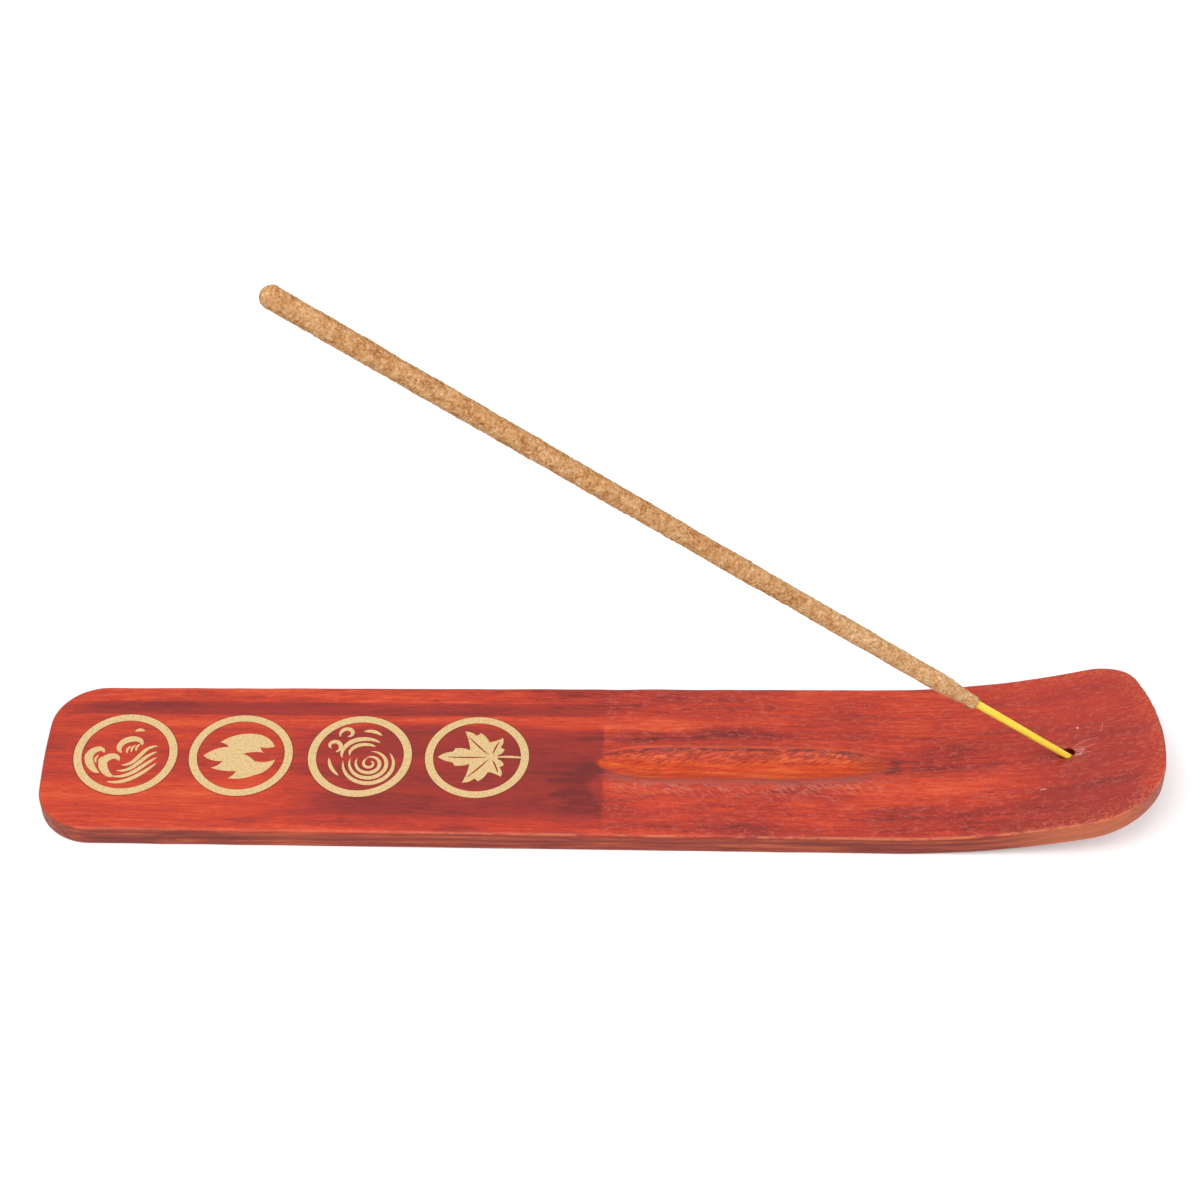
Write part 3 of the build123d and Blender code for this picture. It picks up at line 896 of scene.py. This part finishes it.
def add_paste():
    """The rolled incense: a lumpy, sandy coat with a ragged foot and a slightly swollen round tip."""
    around = max(20, int(2 * math.pi * PASTE_RADIUS / PASTE_STEP))
    tip_start = PASTE_END - TIP_RADIUS
    shaft = np.arange(PASTE_START, tip_start, PASTE_STEP)
    dome = tip_start + TIP_RADIUS * np.sin(np.linspace(0, math.pi / 2, 14))
    stations = np.concatenate([shaft, dome])
    shoulder = PASTE_START + PASTE_SHOULDER
    profile = [PASTE_FOOT_RADIUS, PASTE_RADIUS, TIP_RADIUS]
    body = np.interp(stations, [PASTE_START, shoulder, tip_start], profile)
    past = np.clip((stations - tip_start) / TIP_RADIUS, 0, 1)
    body = body * np.sqrt(1 - 0.995 * past**2)
    lumps = surface_noise(stations, around, PASTE_RADIUS, 0.16, 1)
    knobs = surface_noise(stations, around, PASTE_RADIUS, 0.6, 2)
    grains = surface_noise(stations, around, PASTE_RADIUS, 1.9, 3)
    radii = body[:, None] - 0.1 + 0.1 * lumps + 0.1 * knobs + 0.13 * grains
    radii = np.minimum(np.maximum(radii, 0.05), body[:, None] + 0.12)
    paste = round_bar("incense_coat", stations, radii, around)
    paste.data.materials.append(paste_material())
    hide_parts("incense_paste")


def add_core():
    """The bamboo: a split with soft corners and fine fibres, square-cut at its foot."""
    around = 28
    stations = np.concatenate([np.arange(0, PASTE_START + 3, 0.4), [PASTE_START + 4, CORE_LENGTH]])
    angles = np.linspace(0, 2 * math.pi, around, endpoint=False)
    body = np.interp(stations, [0, PASTE_START, CORE_LENGTH], [FOOT_RADIUS, CORE_RADIUS, CORE_RADIUS])
    corners = 1 - 0.07 * (1 - np.abs(np.cos(2 * angles))) - 0.03
    ridges = 0.02 * np.sin(9 * angles + 1.3) + 0.012 * np.sin(14 * angles)
    rough = 0.03 * surface_noise(stations, around, CORE_RADIUS, 0.35, 5)
    radii = body[:, None] * (corners + ridges)[None, :] + rough
    radii[0] *= 0.9
    core = round_bar("bamboo_split", stations, radii, around)
    core.data.materials.append(bamboo_material())
    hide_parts("bamboo_core")


def paste_material():
    """Tan wood powder and gum: matt grains from pale to brown."""
    material = new_material("incense")
    tree = material.node_tree
    place = add_place(tree)
    grains = add_noise(tree, place, (1.6, 1.6, 1.6), 5.0, 0.85)
    clumps = add_noise(tree, place, (0.45, 0.45, 0.45), 3.0, 0.6)
    tone = add_layers(tree, 0.6, [(grains, 0.95), (clumps, 0.35)])
    near_foot = add_range(tree, add_attribute(tree, "up_stick"), 110, 45)
    tone = add_math(tree, "MULTIPLY_ADD", near_foot, 0.05, tone)
    colour = add_ramp(tree, tone, PASTE_RAMP)
    bump = add_node(tree, "ShaderNodeBump", {"Height": tone, "Strength": 0.8, "Distance": 0.25 * MM})
    shader = add_node(tree, "ShaderNodeBsdfPrincipled", {
        "Base Color": colour, "Roughness": 0.95, "Normal": bump.outputs[0], "Specular IOR Level": 0.15,
    })
    add_node(tree, "ShaderNodeOutputMaterial", {"Surface": shader.outputs[0]})
    return material


def bamboo_material():
    """Bamboo dyed bright yellow, with fibres along it and painted shade in darker orange on its underside.
    """
    material = new_material("dyed_bamboo")
    tree = material.node_tree
    up_stick = add_attribute(tree, "up_stick")
    turn = add_attribute(tree, "turn")
    fibre_place = add_node(tree, "ShaderNodeCombineXYZ", {"X": up_stick, "Y": turn})
    fibres = add_noise(tree, fibre_place.outputs[0], (0.12, 6.0, 1.0), 4.0, 0.65)
    colour = add_ramp(tree, fibres, BAMBOO_RAMP)
    # Painted shade: the stick's underside is coloured a darker orange than its top
    underside = add_product(tree, add_range(tree, turn, 0.1, 0.95), 0.55)
    colour = add_coat(tree, colour, underside, BAMBOO_PAINTED_SHADE_ORANGE)
    bump = add_node(tree, "ShaderNodeBump", {"Height": fibres, "Strength": 0.3, "Distance": 0.05 * MM})
    shader = add_node(tree, "ShaderNodeBsdfPrincipled", {
        "Base Color": colour, "Roughness": 0.45, "Normal": bump.outputs[0],
    })
    add_node(tree, "ShaderNodeOutputMaterial", {"Surface": shader.outputs[0]})
    return material


bpy.context.scene.view_settings.view_transform = "Standard"
place_camera()
light_scene()
add_floor()
add_board()
ink_emblems()
add_core()
add_paste()
